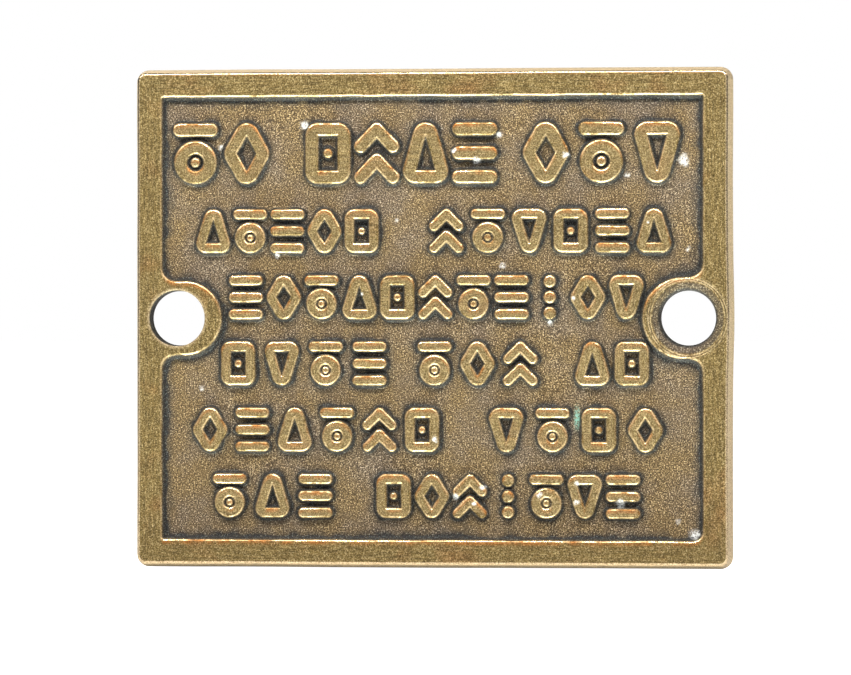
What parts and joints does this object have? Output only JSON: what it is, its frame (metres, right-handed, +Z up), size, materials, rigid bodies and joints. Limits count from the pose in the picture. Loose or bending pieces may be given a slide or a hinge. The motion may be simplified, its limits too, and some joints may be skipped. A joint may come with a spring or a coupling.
{
  "type": "cast_instruction_plate",
  "caption": "Cast brass instruction plate for a push-button station: raised rim, sunken dark field, rows of raised abstract marks and two screw holes in raised bosses.",
  "frame": {"origin": "centre of the back face, midway between the two screw holes", "axes": "+Z up as it hangs, +X right, front faces -Y, back face at y = 0"},
  "size_m": [0.0762, 0.0032, 0.0636],
  "materials": {
    "cast_brass": "satin"
  },
  "bodies": {
    "root": {"cast_plate": "cast_brass", "line_1_word_1": "cast_brass", "line_1_word_2": "cast_brass", "line_1_word_3": "cast_brass", "line_2_word_1": "cast_brass", "line_2_word_2": "cast_brass", "line_3_word_1": "cast_brass", "line_4_word_1": "cast_brass", "line_4_word_2": "cast_brass", "line_4_word_3": "cast_brass", "line_5_word_1": "cast_brass", "line_5_word_2": "cast_brass", "line_6_word_1": "cast_brass", "line_6_word_2": "cast_brass"}
  },
  "joints": []
}
